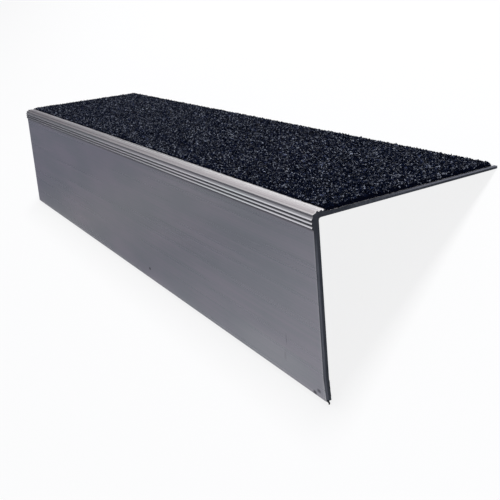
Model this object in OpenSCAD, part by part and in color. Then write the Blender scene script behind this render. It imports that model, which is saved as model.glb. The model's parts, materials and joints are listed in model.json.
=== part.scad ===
// Stair nosing: an extruded aluminium angle with a ribbed nose, and a strip of black grit bonded to its tread.
// The section is drawn as the nosing sits on a step: x runs back from the rib crests, y up to the nose's top.
// The piece is then laid on the floor as it rests unheld: nose up, on its toe and on the tread's back edge.

/* [Overall] */
// Length of the cut piece
length = 300; // [100:1:1000]
// Depth of the tread leg, from the rib crests to the back edge
tread_depth = 75; // [45:0.5:120]
// Height of the riser leg, from the nose's top to the toe
riser_height = 58; // [30:0.5:100]

/* [Legs] */
// Thickness of the tread leg under the strip
tread_wall = 1.3; // [1.1:0.1:3]
// Thickness of the riser leg
riser_wall = 2; // [1.2:0.1:4]
// Radius of the fillet inside the corner
inner_radius = 0.8; // [0.3:0.1:3]
// Radius on the edges of the toe and under the tread's back edge
edge_radius = 0.3; // [0.1:0.05:0.4]
// Width of the bevel along the tread's back edge
back_bevel = 1.5; // [0.5:0.1:2.1]
// Drop of the bevel along the tread's back edge
back_drop = 0.4; // [0.1:0.05:0.6]

/* [Nose top] */
// Depth of the nose's top, from the rib crests to its shoulder at the strip
nose_depth = 5.1; // [3.5:0.1:9]
// Height of the nose's top above the strip's seat
nose_step = 0.7; // [0.3:0.05:1.2]
// Spacing of the grooves along the nose's top
groove_pitch = 1.4; // [1:0.05:2]
// Width of a groove
groove_width = 0.8; // [0.3:0.05:0.8]
// Depth of a groove
groove_depth = 0.35; // [0.1:0.05:0.6]
// Distance from the rib crests back to the ledge along the nose's front edge
ledge_back = 1.9; // [1.4:0.1:2.5]
// Drop from the nose's top to the back of the ledge
ledge_drop = 0.5; // [0.2:0.05:0.7]
// Width of the slope down to the ledge
ledge_slope = 0.3; // [0.1:0.05:0.6]
// Drop from the nose's top to the ledge's front edge
front_drop = 0.8; // [0.75:0.05:1.2]
// Radius on the edges of the nose and of its ribs
nose_radius = 0.1; // [0.04:0.01:0.12]

/* [Front ribs] */
// Number of saw-tooth ribs down the front
rib_count = 3; // [1:1:6]
// Spacing of the rib crests
rib_pitch = 1.2; // [0.9:0.05:2]
// Drop from the nose's top to the first rib's crest
first_crest = 2.3; // [2.1:0.05:3]
// Distance that the crests stand out from the riser's face
rib_stand = 0.6; // [0.5:0.05:1]
// Depth of the notch between two crests
notch_depth = 0.45; // [0.2:0.05:0.6]
// Drop from a crest to the root of the notch under it
notch_drop = 0.4; // [0.2:0.05:0.6]

/* [Grit strip] */
// Thickness of the grit strip
strip_thick = 1.5; // [0.8:0.1:3]
// Width of bare tread behind the strip
strip_lip = 2.2; // [1.5:0.1:10]
// Clearance between the strip and the nose's shoulder
strip_gap = 0.2; // [0.1:0.05:0.5]
// Width of the slope along the strip's back edge
strip_slope = 1.1; // [0.2:0.1:3]
// Distance that the strip stops short of each cut end
strip_inset = 0.5; // [0:0.1:5]

/* [Hidden] */
$fn = 64;
// Facets on each small rounded edge
round_steps = 3;
// Levels and faces of the section
seat = -nose_step;
tread_under = seat - tread_wall;
riser_back = rib_stand + riser_wall;
toe = -riser_height;
last_crest = -first_crest - (rib_count - 1) * rib_pitch;
// As many grooves as the land behind the ledge has room for
land = nose_depth - ledge_back;
groove_count = floor(land / groove_pitch);
first_groove = ledge_back + land / 2 + (groove_count - 1) / 2 * groove_pitch;
// Centres of the rounded edges, and the corner that reaches furthest back
toe_front_edge = [rib_stand + edge_radius, toe + edge_radius];
toe_back_edge = [riser_back - edge_radius, toe + edge_radius];
tread_back_edge = [tread_depth - edge_radius, tread_under + edge_radius];
back_corner = [tread_depth, seat - back_drop];
// Lean of the tread at rest, with the toe and the tread's back edge on the floor
edge_run = tread_back_edge - toe_back_edge;
lean = atan2(edge_run.y, edge_run.x);
front_reach = leaned(toe_front_edge).x - edge_radius;
back_reach = leaned(back_corner).x;
floor_level = leaned(toe_back_edge).y - edge_radius;

// A point turned about the origin, and a point of the section once the piece leans
function turned(p, angle) = [p.x * cos(angle) - p.y * sin(angle), p.x * sin(angle) + p.y * cos(angle)];
function leaned(p) = turned(p, -lean);

// A small arc in place of a corner, from the edge before it to the edge after it
function rounded(before, corner, after) =
    let (
        to_before = (before - corner) / norm(before - corner),
        to_after = (after - corner) / norm(after - corner),
        half = acos(to_before * to_after) / 2,
        middle = corner + (to_before + to_after) / norm(to_before + to_after) * nose_radius / sin(half),
        start = corner + to_before * nose_radius / tan(half) - middle,
        end = corner + to_after * nose_radius / tan(half) - middle,
        turn = sign(cross(start, end)) * (180 - 2 * half)
    )
    [for (i = [0 : round_steps]) middle + turned(start, turn * i / round_steps)];

// One groove of the nose's top, drawn from its back to its front
function groove(middle) = [
    [middle + groove_width / 2, 0],
    [middle, -groove_depth],
    [middle - groove_width / 2, 0],
];

// A section run along the length and laid on the floor, centred over the origin
module run_and_lay(run) {
    translate([0, -(front_reach + back_reach) / 2, -floor_level])
        rotate([-lean, 0, 0])
            rotate([90, 0, 90])
                linear_extrude(run, center = true)
                    children();
}

// Fillet inside the corner, where the tread's underside meets the riser
module inner_fillet() {
    difference() {
        translate([riser_back - riser_wall / 2, tread_under - inner_radius])
            square([riser_wall / 2 + inner_radius, tread_wall / 2 + inner_radius]);
        translate([riser_back + inner_radius, tread_under - inner_radius]) circle(inner_radius);
    }
}

// Section of the angle, drawn from under the tread's back edge over the nose and down to the toe
module angle_section() {
    tread = [
        [tread_back_edge.x, tread_under],
        [tread_depth, tread_back_edge.y],
        back_corner,
        [tread_depth - back_bevel, seat],
        [nose_depth, seat],
    ];
    shoulder = [nose_depth, 0];
    grooves = [for (i = [0 : 1 : groove_count - 1]) each groove(first_groove - i * groove_pitch)];
    ledge = [
        [ledge_back, 0],
        [ledge_back - ledge_slope, -ledge_drop],
        [rib_stand, -front_drop],
    ];
    // Each rib slopes out from the root above it to its own crest
    ribs = [for (i = [0 : rib_count - 1])
        let (crest = -first_crest - i * rib_pitch, root = crest + rib_pitch - notch_drop)
            each [[i == 0 ? rib_stand : notch_depth, root], [0, crest]]];
    under_ribs = [rib_stand, last_crest - rib_stand];
    riser = [
        [rib_stand, toe_front_edge.y],
        [toe_front_edge.x, toe],
        [toe_back_edge.x, toe],
        [riser_back, toe_back_edge.y],
        [riser_back, tread_under],
    ];
    sharp = concat([tread[len(tread) - 1], shoulder], grooves, ledge, ribs, [under_ribs, riser[0]]);
    nose = [for (i = [1 : len(sharp) - 2]) each rounded(sharp[i - 1], sharp[i], sharp[i + 1])];
    polygon(concat(tread, nose, riser));
    for (edge = [tread_back_edge, toe_front_edge, toe_back_edge]) translate(edge) circle(edge_radius);
    inner_fillet();
}

// The extruded angle
module aluminium_angle() {
    color("silver") run_and_lay(length) angle_section();
}

// The strip of black grit on the tread, set against the nose's shoulder
module grit_strip() {
    front = nose_depth + strip_gap;
    back = tread_depth - strip_lip;
    color("#22252f") run_and_lay(length - 2 * strip_inset)
        polygon([
            [front, seat],
            [back, seat],
            [back - strip_slope, seat + strip_thick],
            [front, seat + strip_thick],
        ]);
}

aluminium_angle();
grit_strip();
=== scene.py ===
# %% [markdown]
# A stair nosing covers and grips the edge of a step. This one is an aluminium angle, sawn from a long
# extrusion, with a ribbed nose and a strip of black grit bonded to its tread. The CAD model has the true
# section, so this lesson adds what the eye reads as material: mill-finish metal, sawn ends and sown grains.

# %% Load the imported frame
import json
import math
import random

import bpy
from mathutils import Matrix, Quaternion, Vector


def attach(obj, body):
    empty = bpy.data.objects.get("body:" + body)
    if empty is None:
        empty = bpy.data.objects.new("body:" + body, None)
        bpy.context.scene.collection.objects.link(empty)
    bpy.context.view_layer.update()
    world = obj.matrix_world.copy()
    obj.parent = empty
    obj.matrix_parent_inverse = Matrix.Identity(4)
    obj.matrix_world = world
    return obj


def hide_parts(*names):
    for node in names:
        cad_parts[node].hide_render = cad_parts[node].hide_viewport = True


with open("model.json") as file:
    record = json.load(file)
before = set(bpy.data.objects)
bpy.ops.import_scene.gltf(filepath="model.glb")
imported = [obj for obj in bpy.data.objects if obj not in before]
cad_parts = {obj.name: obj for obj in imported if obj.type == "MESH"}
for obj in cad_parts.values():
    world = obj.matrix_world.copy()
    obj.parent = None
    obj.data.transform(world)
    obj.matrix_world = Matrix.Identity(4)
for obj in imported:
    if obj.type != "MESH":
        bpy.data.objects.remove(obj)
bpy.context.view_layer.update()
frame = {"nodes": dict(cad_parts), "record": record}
angle = frame["nodes"]["aluminium_angle"]
strip = frame["nodes"]["grit_strip"]
MM = 0.001


def in_mm(corners):
    """Corners in metres as rounded millimetres, for printing."""
    return [[round(side / MM, 2) for side in corner] for corner in corners]


# %% [markdown]
# The nosing lies on the floor like a tent, but its section is easier to think about level, as on a step.
# The record's two mounts are the flats that sit on the step, so their axes give the lean, and the line
# where the flats cross is the angle's inside corner. From there "back" runs under the tread, and "up"
# leaves it.

# %% Find the section's own axes
mounts = {mount["name"]: mount for mount in frame["record"]["mounts"]}
along = Vector((1, 0, 0))
back = Vector(mounts["riser_back"]["axis"])
up = -Vector(mounts["tread_underside"]["axis"])
riser_point = Vector(mounts["riser_back"]["pos_m"])
tread_point = Vector(mounts["tread_underside"]["pos_m"])
corner = back * back.dot(riser_point) + up * up.dot(tread_point)
laid = Matrix((along, back, up)).transposed().to_4x4()
laid.translation = corner
lean = math.atan2(-back.z, back.y)


def section_box(node):
    """Lowest and highest corner of a node in the section's own axes."""
    points = [laid.inverted() @ vertex.co for vertex in node.data.vertices]
    low = Vector([min(point[side] for point in points) for side in range(3)])
    high = Vector([max(point[side] for point in points) for side in range(3)])
    return low, high


angle_low, angle_high = section_box(angle)
strip_low, strip_high = section_box(strip)
print("lean in degrees:", round(math.degrees(lean), 3))
print("angle in mm:", in_mm((angle_low, angle_high)))
print("strip in mm:", in_mm((strip_low, strip_high)))

# %% [markdown]
# The photo looks at the nosing as it sits on a step, from the front, its right end and a little above.
# The piece now leans, so the camera leans with it, as if rolled. Its place, roll and lens come from
# matching the corners of the section in the photo. The lens is shifted down, as the photo was cropped.

# %% Place the camera
PICTURE_PIXELS = 500
SENSOR_MM = 36
FOCAL_PIXELS = 743.4
MIDDLE_ROW = 150
CAMERA_ROLL = math.radians(-41.506)
NEAREST_SEEN = 10 * MM
camera_place = Vector((312.34, -63.08, 164.99)) * MM
looks_at = Vector((0, 33.35, -8.44)) * MM
camera_data = bpy.data.cameras.new("camera")
camera_data.sensor_width = SENSOR_MM
camera_data.lens = FOCAL_PIXELS / PICTURE_PIXELS * SENSOR_MM
camera_data.shift_y = (MIDDLE_ROW - PICTURE_PIXELS / 2) / PICTURE_PIXELS
camera_data.clip_start = NEAREST_SEEN
camera = bpy.data.objects.new("camera", camera_data)
bpy.context.scene.collection.objects.link(camera)
camera.location = camera_place
level_view = (looks_at - camera_place).to_track_quat("-Z", "Y")
camera.rotation_euler = (level_view @ Quaternion((0, 0, 1), CAMERA_ROLL)).to_euler()
bpy.context.scene.camera = camera
bpy.context.scene.view_settings.view_transform = "Standard"
print("lens in mm:", round(camera_data.lens, 2), "shift:", round(camera_data.shift_y, 3))

# %% [markdown]
# Every finish below is a small network of nodes, and a few helpers keep that short. One turns the sRGB hex
# values that people write into the linear colours that Blender computes with. One adds a node with its
# settings and links. The third tells apart the rays that show a surface from the rays that light things.


# %% Helpers for all node trees
def linear(hex_colour):
    """The linear colour of an sRGB hex value."""
    channels = [int(hex_colour[place:place + 2], 16) / 255 for place in (1, 3, 5)]
    straight = [c / 12.92 if c <= 0.04045 else ((c + 0.055) / 1.055) ** 2.4 for c in channels]
    return (*straight, 1.0)


def add_node(tree, kind, links=None, **settings):
    """A node with its settings, and a value or another node's output on each named input."""
    node = tree.nodes.new(kind)
    for name, value in settings.items():
        setattr(node, name, value)
    for name, value in (links or {}).items():
        if isinstance(value, bpy.types.NodeSocket):
            tree.links.new(value, node.inputs[name])
        else:
            node.inputs[name].default_value = value
    return node


def shown(tree):
    """1 for the camera and for what metal or glass passes on, and 0 for rays that light things."""
    ray = add_node(tree, "ShaderNodeLightPath").outputs
    straight = add_node(tree, "ShaderNodeMath", {
        0: ray["Is Camera Ray"], 1: ray["Is Glossy Ray"]}, operation="ADD")
    return add_node(tree, "ShaderNodeMath", {
        0: straight.outputs[0], 1: ray["Is Transmission Ray"]}, operation="ADD").outputs[0]


print("mid grey in linear light:", round(linear("#808080")[0], 3))

# %% [markdown]
# The floor is a plain pale sheet that reaches past the picture's edges. Product photos are often taken on a
# lit white table, and this floor works like one: it glows white to the camera and to shiny metal, but only
# in part, so the nosing's shadow stays on it.

# %% Lay the floor
FLOOR_SIDE = 8.0
TABLE_GLOW = 0.82
TABLE_ROUGHNESS = 0.9
TABLE_GLOSS = 0.1
bpy.ops.object.select_all(action="DESELECT")
bpy.ops.mesh.primitive_plane_add(size=FLOOR_SIDE)
floor = bpy.context.active_object
floor.name = "floor"
table = bpy.data.materials.new("lit_white_table")
table.use_nodes = True
tree = table.node_tree
shader = tree.nodes["Principled BSDF"]
shader.inputs["Base Color"].default_value = linear("#ECECEE")
shader.inputs["Roughness"].default_value = TABLE_ROUGHNESS
shader.inputs["Specular IOR Level"].default_value = TABLE_GLOSS
share = add_node(tree, "ShaderNodeMath", {0: shown(tree), 1: TABLE_GLOW}, operation="MULTIPLY")
glow = add_node(tree, "ShaderNodeEmission", {"Color": linear("#FFFFFF"), "Strength": 1.0})
lit = add_node(tree, "ShaderNodeMixShader", {
    0: share.outputs[0], 1: shader.outputs["BSDF"], 2: glow.outputs["Emission"]})
tree.links.new(lit.outputs["Shader"], tree.nodes["Material Output"].inputs["Surface"])
floor.data.materials.append(table)
print("floor:", FLOOR_SIDE, "m square")

# %% [markdown]
# The light is plain and soft: a pale room all round, and one square softbox above and behind the nosing,
# which faces its tread. Their level is set so that a colour renders about as it is written. The softbox
# also picks out the facets of the grains.

# %% Light the room
ROOM_LIGHT = 0.45
ROOM_SHOWN = 0.72
SOFTBOX_SIDE = 0.3
SOFTBOX_WATTS = 15.0
softbox_place = Vector((0.0, 0.8, 1.0))
world = bpy.data.worlds.new("pale_room")
bpy.context.scene.world = world
world.use_nodes = True
room = world.node_tree
room.nodes.clear()
lighting = add_node(room, "ShaderNodeBackground", {"Color": linear("#F6F8FF"), "Strength": ROOM_LIGHT})
backdrop = add_node(room, "ShaderNodeBackground", {"Color": linear("#FFFFFF"), "Strength": ROOM_SHOWN})
walls = add_node(room, "ShaderNodeMixShader", {
    0: shown(room), 1: lighting.outputs[0], 2: backdrop.outputs[0]})
add_node(room, "ShaderNodeOutputWorld", {"Surface": walls.outputs[0]})
bpy.ops.object.light_add(type="AREA", location=softbox_place)
softbox = bpy.context.active_object
softbox.name = "softbox"
softbox.data.size = SOFTBOX_SIDE
softbox.data.energy = SOFTBOX_WATTS
softbox.rotation_euler = (-softbox_place).to_track_quat("-Z", "Y").to_euler()
print("room light:", ROOM_LIGHT, "softbox watts:", softbox.data.energy)

# %% [markdown]
# Bare metal shows whatever stands in front of it. In the photo the nose's top is white and the riser
# mid-grey, so something grey stood low in front of the riser. A photographer would prop up a grey card
# there, and so does this scene, with a few more for the nose, the ribs and the sawn end. The cards only
# show in reflections: they cast no shadow, and the camera doesn't see them.


# %% Prop up the grey cards
def add_card(name, corners, *shades):
    """A card that only reflections see, from its corners and its greys at places along x, in metres."""
    bpy.ops.object.select_all(action="DESELECT")
    bpy.ops.mesh.primitive_plane_add(size=1)
    card = bpy.context.active_object
    card.name = name
    for vertex, place in zip(card.data.vertices, corners):
        vertex.co = place
    material = bpy.data.materials.new(name)
    material.use_nodes = True
    tree = material.node_tree
    tree.nodes.clear()
    place = add_node(tree, "ShaderNodeTexCoord").outputs["Object"]
    across = add_node(tree, "ShaderNodeSeparateXYZ", {"Vector": place}).outputs["X"]
    first, last = shades[0][0], shades[-1][0]
    reach = add_node(tree, "ShaderNodeMapRange", {"Value": across, "From Min": first, "From Max": last})
    shade = add_node(tree, "ShaderNodeValToRGB", {"Fac": reach.outputs[0]})
    stops = shade.color_ramp.elements
    stops.remove(stops[1])
    stops[0].color = linear(shades[0][1])
    for at, grey in shades[1:]:
        stops.new((at - first) / (last - first)).color = linear(grey)
    paper = add_node(tree, "ShaderNodeEmission", {"Color": shade.outputs["Color"], "Strength": 1.0})
    add_node(tree, "ShaderNodeOutputMaterial", {"Surface": paper.outputs[0]})
    card.data.materials.append(material)
    for kind in ("camera", "diffuse", "transmission", "volume_scatter", "shadow"):
        setattr(card, "visible_" + kind, False)
    return card


cards = [
    # Slopes up and away from the riser's toe, a little paler half way and much paler at the near end
    add_card("riser_card", [
        (-1.2, -0.048, 0.001), (0.16, -0.048, 0.001), (-1.2, -0.9, 0.8), (0.16, -0.9, 0.8)],
        (-0.2, "#70707B"), (-0.09, "#828186"), (0.01, "#797981"), (0.19, "#9D9DA2")),
    # Stands beyond the far end, and darkens the far part of the nose's top
    add_card("far_card", [
        (-0.75, -0.3, 0.001), (-0.45, 0.5, 0.001), (-0.75, -0.3, 0.4), (-0.45, 0.5, 0.4)],
        (-0.62, "#4A4A54"), (-0.45, "#D8D8D8")),
    # Hangs high beyond the far end, and whitens the slopes of the ribs
    add_card("rib_card", [
        (-1.0, -0.6, 0.45), (-0.9, 0.15, 0.45), (-0.8, -0.6, 1.0), (-0.7, 0.15, 1.0)],
        (0, "#FFFFFF")),
    # Lies on the floor in front of the near end, and greys its saw cut
    add_card("end_card", [
        (0.1502, -0.08, 0.0002), (0.6, -0.08, 0.0002), (0.1502, 0.4, 0.0002), (0.6, 0.4, 0.0002)],
        (0, "#80838B")),
    # Stands well out past the near end, and darkens the same saw cut
    add_card("dark_card", [
        (0.9, -0.05, 0.001), (0.9, 1.0, 0.001), (0.9, -0.05, 1.5), (0.9, 1.0, 1.5)],
        (0, "#1E1E22")),
]
print("cards:", [card.name for card in cards])

# %% [markdown]
# The finishes follow the section, not the floor: die lines run along the length, and painted shade and
# highlights sit at certain heights of the nose. So each finish starts from a Mapping node that turns the
# place on the piece into millimetres along, back and up from the inside corner. A second helper turns those
# lengths into masks.

# %% Helpers for the finishes
# In a Mix node for colours, inputs 6 and 7 are the two colours and output 2 is their mix
COLOUR_A, COLOUR_B, COLOUR_OUT = 6, 7, 2
# A noise texture's values lie mostly between these two
NOISE_LOW, NOISE_HIGH = 0.3, 0.7


def start_finish(name):
    """A new material: its tree, its shader, and millimetres along, back and up from the inside corner."""
    material = bpy.data.materials.new(name)
    material.use_nodes = True
    tree = material.node_tree
    shader = tree.nodes["Principled BSDF"]
    place = add_node(tree, "ShaderNodeTexCoord").outputs["Object"]
    to_corner = -(laid.to_3x3().inverted() @ corner) / MM
    level = add_node(tree, "ShaderNodeMapping", {
        "Vector": place, "Location": to_corner, "Rotation": (lean, 0, 0), "Scale": (1 / MM,) * 3})
    return material, tree, shader, level.outputs["Vector"]


def add_mask(tree, *limits, most=1.0):
    """A mask at its most where every length has passed from its bare level to its full one."""
    mask = most
    for length, (bare, full) in limits:
        grown = add_node(tree, "ShaderNodeMapRange", {"Value": length, "From Min": bare, "From Max": full})
        mask = add_node(tree, "ShaderNodeMath", {
            0: grown.outputs[0], 1: mask}, operation="MULTIPLY").outputs[0]
    return mask


print("finishes start at the inside corner, in mm:", in_mm([corner])[0])

# %% [markdown]
# Mill-finish aluminium is bare metal as it leaves the extrusion die. To the eye it is a soft, slightly
# blurred mirror with fine lines along its length and faint smudges, some bluer and some warmer. The lines
# are only micrometres deep, so bump, tone and roughness carry them, and not the mesh.

# %% Mill-finish aluminium
# The real lines are about 0.1 mm apart, too fine to show, so they are drawn coarser
LINE_WIDTH = 0.7
LINE_RUN = 180
SMUDGE_WIDTH = 12
SMUDGE_RUN = 45
LINE_SHARE = 0.35
mill, mill_tree, mill_shader, mill_level = start_finish("mill_finish_aluminium")
drawn = add_node(mill_tree, "ShaderNodeMapping", {
    "Vector": mill_level, "Scale": (1 / LINE_RUN, 1 / LINE_WIDTH, 1 / LINE_WIDTH)})
lines = add_node(mill_tree, "ShaderNodeTexNoise", {
    "Vector": drawn.outputs[0], "Scale": 1.0, "Detail": 1.0, "Roughness": 0.5})
smeared = add_node(mill_tree, "ShaderNodeMapping", {
    "Vector": mill_level, "Scale": (1 / SMUDGE_RUN, 1 / SMUDGE_WIDTH, 1 / SMUDGE_WIDTH)})
smudges = add_node(mill_tree, "ShaderNodeTexNoise", {
    "Vector": smeared.outputs[0], "Scale": 1.0, "Detail": 3.0, "Roughness": 0.5})
both = add_node(mill_tree, "ShaderNodeMix", {
    "Factor": LINE_SHARE, "A": smudges.outputs["Fac"], "B": lines.outputs["Fac"]}, data_type="FLOAT")
tone = add_node(mill_tree, "ShaderNodeValToRGB", {"Fac": both.outputs[0]})
tone.color_ramp.elements[0].position = 0.4
tone.color_ramp.elements[0].color = linear("#D2D6DA")
tone.color_ramp.elements[1].position = 0.6
tone.color_ramp.elements[1].color = linear("#DFDCE3")
matt = add_node(mill_tree, "ShaderNodeMapRange", {
    "Value": lines.outputs["Fac"], "From Min": NOISE_LOW, "From Max": NOISE_HIGH,
    "To Min": 0.27, "To Max": 0.37})
ridges = add_node(mill_tree, "ShaderNodeBump", {
    "Height": lines.outputs["Fac"], "Strength": 0.5, "Distance": 0.02 * MM})
mill_tree.links.new(ridges.outputs[0], mill_shader.inputs["Normal"])
mill_shader.inputs["Metallic"].default_value = 1.0
print("die lines:", LINE_WIDTH, "mm apart, smudges:", SMUDGE_WIDTH, "by", SMUDGE_RUN, "mm")

# %% [markdown]
# Shade is painted into the metal's colour: in the notches between the ribs, in the corner under the last
# rib, under the ledge and along the toe's edge. Masks by place on the section keep it exact, and it stays on
# the metal from every side. The painted shade is darker than the metal, and rougher.

# %% Painted shade on the metal
# Each pair is where a mask is bare and where it is full, in mm on the section
NOTCHES_TOP, NOTCHES_FOOT = (-0.3, -0.45), (-4.0, -3.1)
LEDGE_TOP, LEDGE_FOOT, LEDGE_SHADE = (1.25, 1.1), (-0.2, 0.25), 0.65
TOE_TOP, TOE_SHADE = (-54.9, -55.5), 0.3
BEHIND_CREST = (0.1, 0.3)
SHADE_ROUGHNESS = 0.6
crest_back = angle_low.y / MM
sides = add_node(mill_tree, "ShaderNodeSeparateXYZ", {"Vector": mill_level}).outputs
inward, height = sides["Y"], sides["Z"]
notch_shade = add_mask(mill_tree, (height, NOTCHES_TOP), (height, NOTCHES_FOOT))
ledge_shade = add_mask(mill_tree, (height, LEDGE_TOP), (height, LEDGE_FOOT), most=LEDGE_SHADE)
toe_shade = add_mask(mill_tree, (height, TOE_TOP), most=TOE_SHADE)
notch_and_ledge_shade = add_node(mill_tree, "ShaderNodeMath", {0: notch_shade, 1: ledge_shade}, operation="ADD")
rib_and_toe_shade = add_node(mill_tree, "ShaderNodeMath", {0: notch_and_ledge_shade.outputs[0], 1: toe_shade}, operation="ADD")
behind_crests = add_node(mill_tree, "ShaderNodeMapRange", {
    "Value": inward, "From Min": crest_back + BEHIND_CREST[0], "From Max": crest_back + BEHIND_CREST[1]},
    interpolation_type="SMOOTHSTEP")
# Painted shade: a darker colour in the notches, the corner under the last rib, under the ledge and along the
# toe
painted_shade = add_node(mill_tree, "ShaderNodeMath", {
    0: rib_and_toe_shade.outputs[0], 1: behind_crests.outputs[0]}, operation="MULTIPLY").outputs[0]
dull = add_node(mill_tree, "ShaderNodeMix", {
    "Factor": painted_shade, "A": matt.outputs[0], "B": SHADE_ROUGHNESS}, data_type="FLOAT")
mill_tree.links.new(dull.outputs[0], mill_shader.inputs["Roughness"])
print("rib crests at", round(crest_back, 2), "mm, dirt from", BEHIND_CREST[0], "mm behind them")

# %% [markdown]
# Painted highlights brighten the nose's top, most of all at its back, the ledge in front of it, and the last
# half millimetre before a cut. These are masks by place too. The colours are mixed in this order: drawn
# metal first, then the painted highlights, and the painted shade over both.

# %% Painted highlights on the metal
# Pairs as before: where a mask is bare and where it is full, in mm on the section
NOSE_FOOT, NOSE_HIGHLIGHT = (1.1, 1.25), (-1.2, 1.6)
LEDGE_FRONT, LEDGE_HIGHLIGHT = (-0.9, -1.3), 0.35
NOSE_MARGIN = 0.2
CUT_HIGHLIGHT_WIDTH, CUT_MARGIN, CUT_HIGHLIGHT = 0.7, 0.2, 0.5
nose_back = strip_low.y / MM
cut_end = angle_high.x / MM
on_nose = add_mask(mill_tree, (height, NOSE_FOOT), (inward, (nose_back + NOSE_MARGIN, nose_back)))
# Painted highlights: the nose's top brightens towards its back, and the ledge in front of it too
on_top = add_mask(mill_tree, (inward, NOSE_HIGHLIGHT))
ledge_highlight = add_mask(mill_tree, (inward, LEDGE_FRONT), most=LEDGE_HIGHLIGHT)
painted_highlight = add_node(mill_tree, "ShaderNodeMath", {0: on_top, 1: ledge_highlight}, operation="MAXIMUM")
painted_nose_top = add_node(mill_tree, "ShaderNodeMix", {
    "Factor": painted_highlight.outputs[0], COLOUR_A: linear("#C2BCC0"), COLOUR_B: linear("#FAF8FA")},
    data_type="RGBA")
nose = add_node(mill_tree, "ShaderNodeMix", {
    "Factor": on_nose, COLOUR_A: tone.outputs["Color"], COLOUR_B: painted_nose_top.outputs[COLOUR_OUT]},
    data_type="RGBA")
from_middle = add_node(mill_tree, "ShaderNodeMath", {0: sides["X"]}, operation="ABSOLUTE").outputs[0]
# A painted highlight on the last half millimetre before each cut
cut_edge_highlight = add_mask(mill_tree, (from_middle, (cut_end - CUT_HIGHLIGHT_WIDTH, cut_end - CUT_MARGIN)), most=CUT_HIGHLIGHT)
with_cut_highlight = add_node(mill_tree, "ShaderNodeMix", {
    "Factor": cut_edge_highlight, COLOUR_A: nose.outputs[COLOUR_OUT], COLOUR_B: linear("#FFFFFF")},
    data_type="RGBA")
colour = add_node(mill_tree, "ShaderNodeMix", {
    "Factor": painted_shade, COLOUR_A: with_cut_highlight.outputs[COLOUR_OUT], COLOUR_B: linear("#5A5B61")},
    data_type="RGBA")
print("nose's back at", round(nose_back, 2), "mm, cut end at", round(cut_end, 2), "mm")

# %% [markdown]
# The riser also carries a few marks: three upright scratches near its right end from handling, three small
# dents low down, shown only as darker spots, which is painted shade, and a wide paler patch low down near
# its right end. Each is a soft-edged spot: a Mapping node stretches the space so that the spot becomes a
# ball of radius one, and the distance from its middle is the mask.

# %% Marks on the riser
MARK_EDGE, MARK_CORE = 1.0, 0.4


def add_mark(under, middle, half_size, paint, strength):
    """A soft-edged mark over a colour, from its middle and half sizes in mm on the section."""
    nearness = add_node(mill_tree, "ShaderNodeMapping", {
        "Vector": mill_level, "Location": [-at / half for at, half in zip(middle, half_size)],
        "Scale": [1 / half for half in half_size]})
    far = add_node(mill_tree, "ShaderNodeVectorMath", {0: nearness.outputs[0]}, operation="LENGTH")
    mask = add_mask(mill_tree, (far.outputs["Value"], (MARK_EDGE, MARK_CORE)), most=strength)
    return add_node(mill_tree, "ShaderNodeMix", {
        "Factor": mask, COLOUR_A: under.outputs[COLOUR_OUT], COLOUR_B: linear(paint)}, data_type="RGBA")


RISER_WALL = 2.0
MARK_DEPTH = 1.0
# Each mark's place along and up, its half width and half height in mm, its colour and its strength
MARKS = [
    (129.7, -49.6, 0.22, 1.9, "#9C9CA2", 0.8),
    (130.3, -49.4, 0.22, 2.1, "#9C9CA2", 0.8),
    (131.3, -43.2, 0.22, 2.4, "#9C9CA2", 0.8),
    # Three small dents, shown only as darker spots: painted shade
    (24.3, -51.2, 1.2, 0.8, "#5C5C62", 0.9),
    (147.3, -53.8, 1.2, 0.8, "#80808A", 0.8),
    (145.2, -55.2, 1.3, 0.8, "#66666E", 0.85),
    (120.0, -50.5, 28.0, 6.0, "#FFFFFF", 0.3),
]
for across, upward, half_width, half_height, paint, strength in MARKS:
    colour = add_mark(colour, (across, -RISER_WALL, upward), (half_width, MARK_DEPTH, half_height),
                      paint, strength)
mill_tree.links.new(colour.outputs[COLOUR_OUT], mill_shader.inputs["Base Color"])
print("marks on the riser:", len(MARKS))

# %% [markdown]
# The ends are saw cuts. To the eye sawn aluminium is rougher and duller than the drawn faces, with fine
# marks slanting across the wall. Real saw teeth leave a scored surface too shallow for the mesh, so noise
# that is stretched and turned by the blade's slant draws it in tone, roughness and bump.

# %% Sawn aluminium for the ends
SAW_MARK = 0.35
SAW_RUN = 6
SAW_SLANT = math.radians(25)
sawn, sawn_tree, sawn_shader, sawn_level = start_finish("sawn_aluminium")
swept = add_node(sawn_tree, "ShaderNodeMapping", {
    "Vector": sawn_level, "Rotation": (SAW_SLANT, 0, 0), "Scale": (1, 1 / SAW_MARK, 1 / SAW_RUN)})
marks = add_node(sawn_tree, "ShaderNodeTexNoise", {
    "Vector": swept.outputs[0], "Scale": 1.0, "Detail": 2.0})
scored = add_node(sawn_tree, "ShaderNodeValToRGB", {"Fac": marks.outputs["Fac"]})
scored.color_ramp.elements[0].position = 0.35
scored.color_ramp.elements[0].color = linear("#6A6D74")
scored.color_ramp.elements[1].position = 0.65
scored.color_ramp.elements[1].color = linear("#868990")
matt = add_node(sawn_tree, "ShaderNodeMapRange", {
    "Value": marks.outputs["Fac"], "From Min": NOISE_LOW, "From Max": NOISE_HIGH,
    "To Min": 0.4, "To Max": 0.6})
grooves = add_node(sawn_tree, "ShaderNodeBump", {
    "Height": marks.outputs["Fac"], "Strength": 0.6, "Distance": 0.05 * MM})
sawn_tree.links.new(matt.outputs[0], sawn_shader.inputs["Roughness"])
sawn_tree.links.new(grooves.outputs[0], sawn_shader.inputs["Normal"])
sawn_shader.inputs["Metallic"].default_value = 1.0
print("saw marks:", SAW_MARK, "mm apart")
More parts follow.
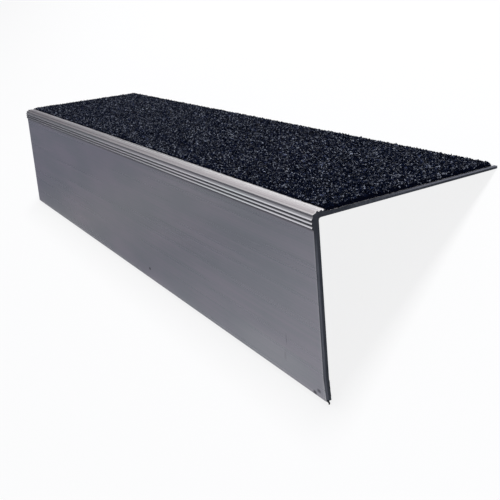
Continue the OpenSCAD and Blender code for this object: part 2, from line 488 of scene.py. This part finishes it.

# %% [markdown]
# Light and shade are painted on the ends. The upper half of the tread's end has a painted highlight towards
# its back, and so does the front of the riser's end, while the lower half, the rear and the corner under the
# nose get painted shade. Masks by place do this again, now also by depth below the tread's seat and behind
# the riser's front.

# %% Painted highlights and shade on the sawn ends
# Pairs as before: where a mask is bare and where it is full, in mm
TREAD_LOWER, TREAD_REAR, TREAD_SHADE = (0.45, 0.7), (35.0, 50.0), 0.6
RISER_REAR, RISER_TOP, RISER_SHADE = (0.8, 1.1), (-0.5, -2.0), 0.5
CORNER_FOOT, CORNER_REAR, CORNER_SHADE = (-10.0, -4.0), (14.0, 8.0), 0.55
TREAD_EDGE, TREAD_UPPER, STRIPE_START, TREAD_HIGHLIGHT = (0.05, 0.2), (0.7, 0.45), (20.0, 40.0), 0.8
RISER_EDGE, RISER_FRONT, STRIPE_TOP, RISER_HIGHLIGHT = (0.15, 0.35), (1.05, 0.8), (-6.0, -12.0), 0.22
seat_up = strip_low.z / MM
sides = add_node(sawn_tree, "ShaderNodeSeparateXYZ", {"Vector": sawn_level}).outputs
inward, height = sides["Y"], sides["Z"]
below = add_node(sawn_tree, "ShaderNodeMath", {0: seat_up, 1: height}, operation="SUBTRACT").outputs[0]
behind = add_node(sawn_tree, "ShaderNodeMath", {0: inward, 1: RISER_WALL}, operation="ADD").outputs[0]
tread_low_shade = add_mask(sawn_tree, (below, TREAD_LOWER), (inward, TREAD_REAR), most=TREAD_SHADE)
riser_rear_shade = add_mask(sawn_tree, (behind, RISER_REAR), (height, RISER_TOP), most=RISER_SHADE)
nose_corner_shade = add_mask(sawn_tree, (height, CORNER_FOOT), (inward, CORNER_REAR), most=CORNER_SHADE)
low_and_rear_shade = add_node(sawn_tree, "ShaderNodeMath", {0: tread_low_shade, 1: riser_rear_shade}, operation="ADD")
# Painted shade: the lower half of the tread's end, the rear of the riser's end and the corner under the nose
painted_end_shade = add_node(sawn_tree, "ShaderNodeMath", {
    0: low_and_rear_shade.outputs[0], 1: nose_corner_shade}, operation="MAXIMUM")
shaded_end_colour = add_node(sawn_tree, "ShaderNodeMix", {
    "Factor": painted_end_shade.outputs[0], COLOUR_A: scored.outputs["Color"], COLOUR_B: linear("#4E5158")},
    data_type="RGBA")
tread_highlight = add_mask(sawn_tree, (below, TREAD_EDGE), (below, TREAD_UPPER), (inward, STRIPE_START),
                        most=TREAD_HIGHLIGHT)
riser_highlight = add_mask(sawn_tree, (behind, RISER_EDGE), (behind, RISER_FRONT), (height, STRIPE_TOP),
                        most=RISER_HIGHLIGHT)
# Painted highlights: a bright stripe on the tread's end and one on the riser's end
bright = add_node(sawn_tree, "ShaderNodeMath", {0: tread_highlight, 1: riser_highlight}, operation="ADD")
end_colour = add_node(sawn_tree, "ShaderNodeMix", {
    "Factor": bright.outputs[0], COLOUR_A: shaded_end_colour.outputs[COLOUR_OUT], COLOUR_B: linear("#E0DFE8")},
    data_type="RGBA")
sawn_tree.links.new(end_colour.outputs[COLOUR_OUT], sawn_shader.inputs["Base Color"])
print("seat at", round(seat_up, 2), "mm, bright stripe from", STRIPE_START[0], "mm back")

# %% [markdown]
# The angle itself stays as the CAD has it, because its ribs and grooves are already true. Only its faces are
# sorted: those that look along the length are the saw cuts, and all others came out of the die.

# %% Dress the angle
END_TURN = 0.9
angle.data.materials.clear()
angle.data.materials.append(mill)
angle.data.materials.append(sawn)
for face in angle.data.polygons:
    face.material_index = 1 if abs(face.normal.x) > END_TURN else 0
print("faces on the sawn ends:", sum(face.material_index for face in angle.data.polygons))

# %% [markdown]
# At the toe of the near end the saw tore the last of the metal. Torn aluminium is dark to the eye: it is
# rough all over and dirt clings to it, so it hardly mirrors anything.

# %% Torn aluminium for the burr
TEAR_SIZE = 0.4
torn, tree, shader, level = start_finish("torn_aluminium")
tears = add_node(tree, "ShaderNodeTexNoise", {"Vector": level, "Scale": 1 / TEAR_SIZE, "Detail": 3.0})
tone = add_node(tree, "ShaderNodeValToRGB", {"Fac": tears.outputs["Fac"]})
tone.color_ramp.elements[0].position = 0.35
tone.color_ramp.elements[0].color = linear("#1C1E21")
tone.color_ramp.elements[1].position = 0.7
tone.color_ramp.elements[1].color = linear("#5A5D62")
rough = add_node(tree, "ShaderNodeBump", {
    "Height": tears.outputs["Fac"], "Strength": 0.6, "Distance": 0.08 * MM})
matt = add_node(tree, "ShaderNodeMapRange", {
    "Value": tears.outputs["Fac"], "From Min": NOISE_LOW, "From Max": NOISE_HIGH,
    "To Min": 0.55, "To Max": 0.75})
tree.links.new(tone.outputs["Color"], shader.inputs["Base Color"])
tree.links.new(matt.outputs[0], shader.inputs["Roughness"])
tree.links.new(rough.outputs[0], shader.inputs["Normal"])
shader.inputs["Metallic"].default_value = 1.0
print("tears:", TEAR_SIZE, "mm")

# %% [markdown]
# Where the blade left the metal it pushed a ragged burr out of the cut. Three small forms make it up: the
# corner flares, a rough sliver stands on the inner edge, and a curl hangs on below. Each starts as a small
# cube on the level section, so first come four helpers: to start one, to pick its points by place, to
# roughen it, and to lay it down where the nosing lies.


# %% Helpers for pieces modelled on the level section
def start_box(name, low, high):
    """A box between two corners in metres on the section, to be shaped in edit mode."""
    bpy.ops.object.select_all(action="DESELECT")
    bpy.ops.mesh.primitive_cube_add(size=1, location=(low + high) / 2, scale=high - low)
    piece = bpy.context.active_object
    piece.name = name
    bpy.ops.object.transform_apply(location=True, rotation=True, scale=True)
    return piece


def select_points(piece, test):
    """Selects the vertices that pass a test of their place in mm on the section, and enters edit mode."""
    bpy.ops.object.mode_set(mode="EDIT")
    bpy.ops.mesh.select_mode(type="VERT")
    bpy.ops.mesh.select_all(action="DESELECT")
    bpy.ops.object.mode_set(mode="OBJECT")
    for vertex in piece.data.vertices:
        vertex.select = test(vertex.co / MM)
    bpy.ops.object.mode_set(mode="EDIT")


def roughen(cuts, offset, seed):
    """Subdivides the active piece and moves its vertices by an offset in mm, at random from a fixed seed."""
    bpy.ops.object.mode_set(mode="EDIT")
    bpy.ops.mesh.select_all(action="SELECT")
    bpy.ops.mesh.subdivide(number_cuts=cuts)
    bpy.ops.transform.vertex_random(offset=offset * MM, seed=seed, wait_for_input=False)
    bpy.ops.mesh.normals_make_consistent(inside=False)
    bpy.ops.object.mode_set(mode="OBJECT")


def lay_down(piece):
    """Moves a piece from the level section to where the nosing lies, with its place in its mesh."""
    bpy.ops.object.select_all(action="DESELECT")
    piece.select_set(True)
    bpy.context.view_layer.objects.active = piece
    piece.matrix_world = laid
    bpy.ops.object.transform_apply(location=True, rotation=True, scale=True)


print("pieces are laid down by", round(math.degrees(lean), 1), "degrees")

# %% [markdown]
# The flare is pulled out of the corner's lower end, the sliver is tapered at its top, and the curl is
# extruded step by step, smaller each time. A burr could be sculpted as one mesh, but three simple forms
# are easier to place, and each can be made as rough as it needs to be.

# %% Raise the saw's burr
# Corners of the three boxes, in mm past the cut, back and up
FLARE_BOX = (-0.2, -1.97, -55.75), (0.01, -0.2, -49.0)
SLIVER_BOX = (-0.4, -0.1, -55.2), (0.1, 0.28, -49.8)
CURL_BOX = (0.1, -1.75, -55.9), (0.6, -1.3, -55.4)
TEAR_TOP = -50
FLARE = 0.8
SLIVER_TAPER = 0.3
CURL_STEPS = [(0.4, 0.05, -0.1), (0.35, 0.05, -0.25), (0.05, 0.05, -0.35), (-0.35, 0.0, -0.15)]
CURL_FROM = 0.3
CURL_TAPER = 0.92


def start_at_cut(name, low, high):
    """A box at the near cut, from two corners in mm past the cut, back and up."""
    corners = [Vector((cut_end + past, inside, above)) * MM for past, inside, above in (low, high)]
    return start_box(name, *corners)


flare = start_at_cut("flare", *FLARE_BOX)
select_points(flare, lambda at: at.x > cut_end and at.z < TEAR_TOP)
bpy.ops.transform.translate(value=(FLARE * MM, 0, 0))
roughen(cuts=5, offset=0.03, seed=2)

sliver = start_at_cut("sliver", *SLIVER_BOX)
select_points(sliver, lambda at: at.z > TEAR_TOP and at.y > 0)
bpy.ops.transform.translate(value=(0, -SLIVER_TAPER * MM, 0))
roughen(cuts=7, offset=0.09, seed=4)

curl = start_at_cut("curl", *CURL_BOX)
select_points(curl, lambda at: at.x > cut_end + CURL_FROM)
for step in CURL_STEPS:
    bpy.ops.mesh.extrude_region_move(TRANSFORM_OT_translate={"value": Vector(step) * MM})
    bpy.ops.transform.resize(value=(CURL_TAPER,) * 3)
roughen(cuts=1, offset=0.04, seed=6)
print("burr forms:", {form.name: len(form.data.polygons) for form in (flare, sliver, curl)})

# %% [markdown]
# The flare is still sawn metal on its end and drawn metal on its front, and the other two forms are torn.
# They are one ragged edge on the real piece, so they are joined before they are laid down.

# %% Join the burr
FRONT_TURN = -0.8
for piece, finish in ((flare, sawn), (sliver, torn), (curl, torn)):
    piece.data.materials.append(finish)
flare.data.materials.append(mill)
for face in flare.data.polygons:
    face.material_index = 1 if face.normal.y < FRONT_TURN else 0
bpy.ops.object.select_all(action="DESELECT")
for piece in (flare, sliver, curl):
    piece.select_set(True)
bpy.context.view_layer.objects.active = flare
bpy.ops.object.join()
burr = flare
burr.name = "saw_burr"
lay_down(burr)
burr_low = min(vertex.co.z for vertex in burr.data.vertices)
print("saw burr faces:", len(burr.data.polygons), "lowest in mm:", round(burr_low / MM, 2))

# %% [markdown]
# The strip is a bed of black resin with crushed grains sown into it. The CAD has it as one plain solid, so
# a bed and four sowings of grains stand for it here. The bed starts as a box of the strip's own size, lower
# by the room that the grains need. Its back is sloped, its top edges are bevelled, and its top is roughened.

# %% Black resin bed
GRAIN_ROOM = 0.4 * MM
BACK_SLOPE = 0.8 * MM
BED_EDGE = 0.3 * MM
BED_CUTS = 24
BED_RAGGED = 0.12 * MM
BED_SEED = 9
bed_high = strip_high - Vector((0, 0, GRAIN_ROOM))
bed_middle = (strip_low + bed_high) / 2 / MM
bed = start_box("grit_bed", strip_low, bed_high)
select_points(bed, lambda at: at.y > bed_middle.y and at.z > bed_middle.z)
bpy.ops.transform.translate(value=(0, -BACK_SLOPE, 0))
select_points(bed, lambda at: at.z > bed_middle.z)
bpy.ops.mesh.bevel(offset=BED_EDGE, segments=2, affect="EDGES")
bpy.ops.mesh.select_all(action="SELECT")
bpy.ops.mesh.subdivide(number_cuts=BED_CUTS)
select_points(bed, lambda at: at.z > bed_middle.z)
bpy.ops.transform.vertex_random(offset=BED_RAGGED, seed=BED_SEED, wait_for_input=False)
bpy.ops.mesh.normals_make_consistent(inside=False)
bpy.ops.object.mode_set(mode="OBJECT")
print("bed in mm:", in_mm((strip_low, bed_high)), "faces:", len(bed.data.polygons))

# %% [markdown]
# A crushed grain has a few flat facets that meet at sharp edges. Each of these six starts as a pyramid, is
# sliced by a plane as a crusher splits stone, and is stretched a little. They are modelled a metre across,
# because the slicing tools are happier at that size, and the sowing brings them down to under a millimetre.

# %% Chip the grains
GRAIN_SHAPES = 6
GRAIN_SEED = 11
CHIP_DEPTH = (0.15, 0.3)
GRAIN_LENGTH = (1.0, 1.3)
GRAIN_HEIGHT = (0.75, 1.0)
grain_dice = random.Random(GRAIN_SEED)
grain_shelf = bpy.data.collections.new("grain_shelf")
bpy.context.scene.collection.children.link(grain_shelf)


def chip_grain(number):
    """One grain, about one metre across, chipped from a pyramid."""
    bpy.ops.object.select_all(action="DESELECT")
    bpy.ops.mesh.primitive_cone_add(vertices=4, radius1=0.65, depth=0.9, rotation=(0.4, 0.6, 0.2))
    grain = bpy.context.active_object
    grain.name = "grain_" + str(number)
    bpy.ops.object.mode_set(mode="EDIT")
    facing = Vector([grain_dice.gauss(0, 1) for side in range(3)]).normalized()
    bpy.ops.mesh.select_all(action="SELECT")
    bpy.ops.mesh.bisect(plane_co=facing * grain_dice.uniform(*CHIP_DEPTH), plane_no=facing,
                        use_fill=True, clear_outer=True)
    bpy.ops.mesh.select_all(action="SELECT")
    bpy.ops.mesh.remove_doubles(threshold=0.1)
    bpy.ops.transform.resize(value=(
        grain_dice.uniform(*GRAIN_LENGTH), 1.0, grain_dice.uniform(*GRAIN_HEIGHT)))
    bpy.ops.mesh.normals_make_consistent(inside=False)
    bpy.ops.object.mode_set(mode="OBJECT")
    for shelf in list(grain.users_collection):
        shelf.objects.unlink(grain)
    grain_shelf.objects.link(grain)
    return grain


grains = [chip_grain(number) for number in range(GRAIN_SHAPES)]
grain_triangles = [sum(len(face.vertices) - 2 for face in grain.data.polygons) for grain in grains]
print("triangles in each grain:", grain_triangles)

# %% [markdown]
# The makers broadcast the grains over wet resin, and Geometry Nodes can do the same: points are scattered
# on all of the bed that faces up, no two closer than a set gap, and each gets one of the six grains, turned
# and sized at random from a fixed seed. There are tens of thousands, far too many to place by hand.

# %% A helper that sows grains
# A face is sown if its normal's upward part is above this
FACES_UP_FROM = 0.3
# So many points are tried for each square of the gap's side, so that few places stay bare
TRIES_PER_GAP = 4
SIZE_LEAST, SIZE_MOST = 0.75, 1.3


def sow(name, size, gap, seed):
    """A mesh of grains of about a size in mm, sown with a gap in mm on a copy of the bed, and laid down."""
    piece = bed.copy()
    piece.data = bed.data.copy()
    piece.name = name
    bpy.context.scene.collection.objects.link(piece)
    tree = bpy.data.node_groups.new(name, "GeometryNodeTree")
    tree.interface.new_socket("Geometry", in_out="INPUT", socket_type="NodeSocketGeometry")
    tree.interface.new_socket("Geometry", in_out="OUTPUT", socket_type="NodeSocketGeometry")
    start = add_node(tree, "NodeGroupInput")
    faces = add_node(tree, "GeometryNodeInputNormal")
    upness = add_node(tree, "ShaderNodeVectorMath", {
        0: faces.outputs[0], 1: (0, 0, 1)}, operation="DOT_PRODUCT")
    on_top = add_node(tree, "FunctionNodeCompare", {
        "A": upness.outputs["Value"], "B": FACES_UP_FROM}, operation="GREATER_THAN")
    points = add_node(tree, "GeometryNodeDistributePointsOnFaces", {
        "Mesh": start.outputs[0], "Selection": on_top.outputs[0], "Distance Min": gap * MM,
        "Density Max": TRIES_PER_GAP / (gap * MM) ** 2, "Seed": seed}, distribute_method="POISSON")
    shelf = add_node(tree, "GeometryNodeCollectionInfo", {
        "Collection": grain_shelf, "Separate Children": True, "Reset Children": True})
    turn = add_node(tree, "FunctionNodeRandomValue", {
        "Max": (math.tau,) * 3, "Seed": seed + 1}, data_type="FLOAT_VECTOR")
    scale = add_node(tree, "FunctionNodeRandomValue", {
        2: SIZE_LEAST * size * MM, 3: SIZE_MOST * size * MM, "Seed": seed + 2}, data_type="FLOAT")
    sown = add_node(tree, "GeometryNodeInstanceOnPoints", {
        "Points": points.outputs["Points"], "Instance": shelf.outputs[0], "Pick Instance": True,
        "Rotation": turn.outputs[0], "Scale": scale.outputs[1]})
    real = add_node(tree, "GeometryNodeRealizeInstances", {"Geometry": sown.outputs[0]})
    add_node(tree, "NodeGroupOutput", {0: real.outputs[0]})
    modifier = piece.modifiers.new("sow", "NODES")
    modifier.node_group = tree
    bpy.ops.object.select_all(action="DESELECT")
    piece.select_set(True)
    bpy.context.view_layer.objects.active = piece
    bpy.ops.object.modifier_apply(modifier=modifier.name)
    lay_down(piece)
    return piece


print("sizes from", SIZE_LEAST, "to", SIZE_MOST, "times a sowing's own")

# %% [markdown]
# Real grit is sieved, but never to one size, so there are four sowings, from coarse to fine. Each is a mesh
# of its own, so that each stays under 200,000 triangles. The grains on the shelf were only patterns, so they
# are cleared away afterwards.

# %% Sow the grains
sowings = [
    sow("grit_coarse", size=0.75, gap=0.76, seed=3),
    sow("grit_medium", size=0.65, gap=0.74, seed=23),
    sow("grit_small", size=0.55, gap=0.74, seed=43),
    sow("grit_fine", size=0.5, gap=0.74, seed=63),
]
for grain in grains:
    bpy.data.objects.remove(grain)
bpy.data.collections.remove(grain_shelf)
lay_down(bed)
for piece in sowings:
    piece.data.calc_loop_triangles()
    print(piece.name, "triangles:", len(piece.data.loop_triangles))

# %% [markdown]
# The grit is black abrasive: hard stone, crushed to sharp grains. To the eye it is nearly black and a little
# blue, with pale specks where a grain turns a fresh facet to the light. Here the specks are painted: a share
# of the grains is painted paler, partly as lighter grains and partly as painted glints. The specks are fine,
# so the two smaller sowings have more of them. Blender can draw lots for each loose grain by itself, because
# every separate island of a mesh has its own random number.

# %% Crushed black grit
PATCH_SIZE = 1.0
CHIP_SIZE = 0.3
COARSE_PALE_FROM = 0.88
FINE_PALE_FROM = 0.6


def crush(name, pale_from):
    """A grit finish in which a grain turns paler, partly a painted glint, the more its lot is above a level
    from 0 to 1.
    """
    grit, tree, shader, level = start_finish(name)
    patches = add_node(tree, "ShaderNodeTexNoise", {
        "Vector": level, "Scale": 1 / PATCH_SIZE, "Detail": 1.0})
    tone = add_node(tree, "ShaderNodeValToRGB", {"Fac": patches.outputs["Fac"]})
    tone.color_ramp.elements[0].position = 0.35
    tone.color_ramp.elements[0].color = linear("#040712")
    tone.color_ramp.elements[1].position = 0.7
    tone.color_ramp.elements[1].color = linear("#0B1226")
    lot = add_node(tree, "ShaderNodeNewGeometry").outputs["Random Per Island"]
    # Paler grains: partly lighter grains, partly painted glints
    grains_and_painted_glints = add_node(tree, "ShaderNodeMix", {
        "Factor": add_mask(tree, (lot, (pale_from, 1.0))), COLOUR_A: tone.outputs["Color"],
        COLOUR_B: linear("#7E838F")}, data_type="RGBA")
    chips = add_node(tree, "ShaderNodeTexNoise", {"Vector": level, "Scale": 1 / CHIP_SIZE, "Detail": 2.0})
    facets = add_node(tree, "ShaderNodeBump", {
        "Height": chips.outputs["Fac"], "Strength": 0.2, "Distance": 0.2 * MM})
    matt = add_node(tree, "ShaderNodeMapRange", {
        "Value": patches.outputs["Fac"], "From Min": NOISE_LOW, "From Max": NOISE_HIGH,
        "To Min": 0.18, "To Max": 0.35})
    tree.links.new(grains_and_painted_glints.outputs[COLOUR_OUT], shader.inputs["Base Color"])
    tree.links.new(matt.outputs[0], shader.inputs["Roughness"])
    tree.links.new(facets.outputs[0], shader.inputs["Normal"])
    # Only a faint, bluish glint on the facets
    shader.inputs["Specular IOR Level"].default_value = 0.05
    shader.inputs["Specular Tint"].default_value = linear("#8CA8FF")
    return grit


coarse_grit = crush("coarse_black_grit", COARSE_PALE_FROM)
fine_grit = crush("fine_black_grit", FINE_PALE_FROM)
for piece, grit in zip(sowings, (coarse_grit, coarse_grit, fine_grit, fine_grit)):
    piece.data.materials.clear()
    piece.data.materials.append(grit)
print("share of paler grains:", round(1 - COARSE_PALE_FROM, 2), "and", round(1 - FINE_PALE_FROM, 2))

# %% [markdown]
# Between the grains, and along the strip's edges, the resin shows. It was poured and set, so it is pitted
# and quite matt: to the eye just a deep black that makes the grains stand out.

# %% Cast black resin
PIT_SIZE = 0.5
resin, tree, shader, level = start_finish("cast_black_resin")
pits = add_node(tree, "ShaderNodeTexNoise", {"Vector": level, "Scale": 1 / PIT_SIZE, "Detail": 3.0})
tone = add_node(tree, "ShaderNodeValToRGB", {"Fac": pits.outputs["Fac"]})
tone.color_ramp.elements[0].color = linear("#070912")
tone.color_ramp.elements[1].color = linear("#0E1120")
rough = add_node(tree, "ShaderNodeBump", {
    "Height": pits.outputs["Fac"], "Strength": 0.7, "Distance": 0.15 * MM})
matt = add_node(tree, "ShaderNodeMapRange", {
    "Value": pits.outputs["Fac"], "From Min": NOISE_LOW, "From Max": NOISE_HIGH,
    "To Min": 0.8, "To Max": 0.95})
tree.links.new(tone.outputs["Color"], shader.inputs["Base Color"])
tree.links.new(matt.outputs[0], shader.inputs["Roughness"])
tree.links.new(rough.outputs[0], shader.inputs["Normal"])
# No glint at all, so the bed stays black between the grains
shader.inputs["Specular IOR Level"].default_value = 0.0
bed.data.materials.append(resin)
print("resin pits:", PIT_SIZE, "mm")

# %% [markdown]
# Nothing on this nosing moves, so every new piece rides on its one body, "root". The bed stands for the
# CAD's plain strip, which is hidden here and stays in the physics model as the shape that touches things.

# %% Ride on the CAD body
for piece in [bed, *sowings]:
    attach(piece, "root")
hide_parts("grit_strip")
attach(burr, "root")
print("new pieces:", [piece.name for piece in [bed, *sowings, burr]])
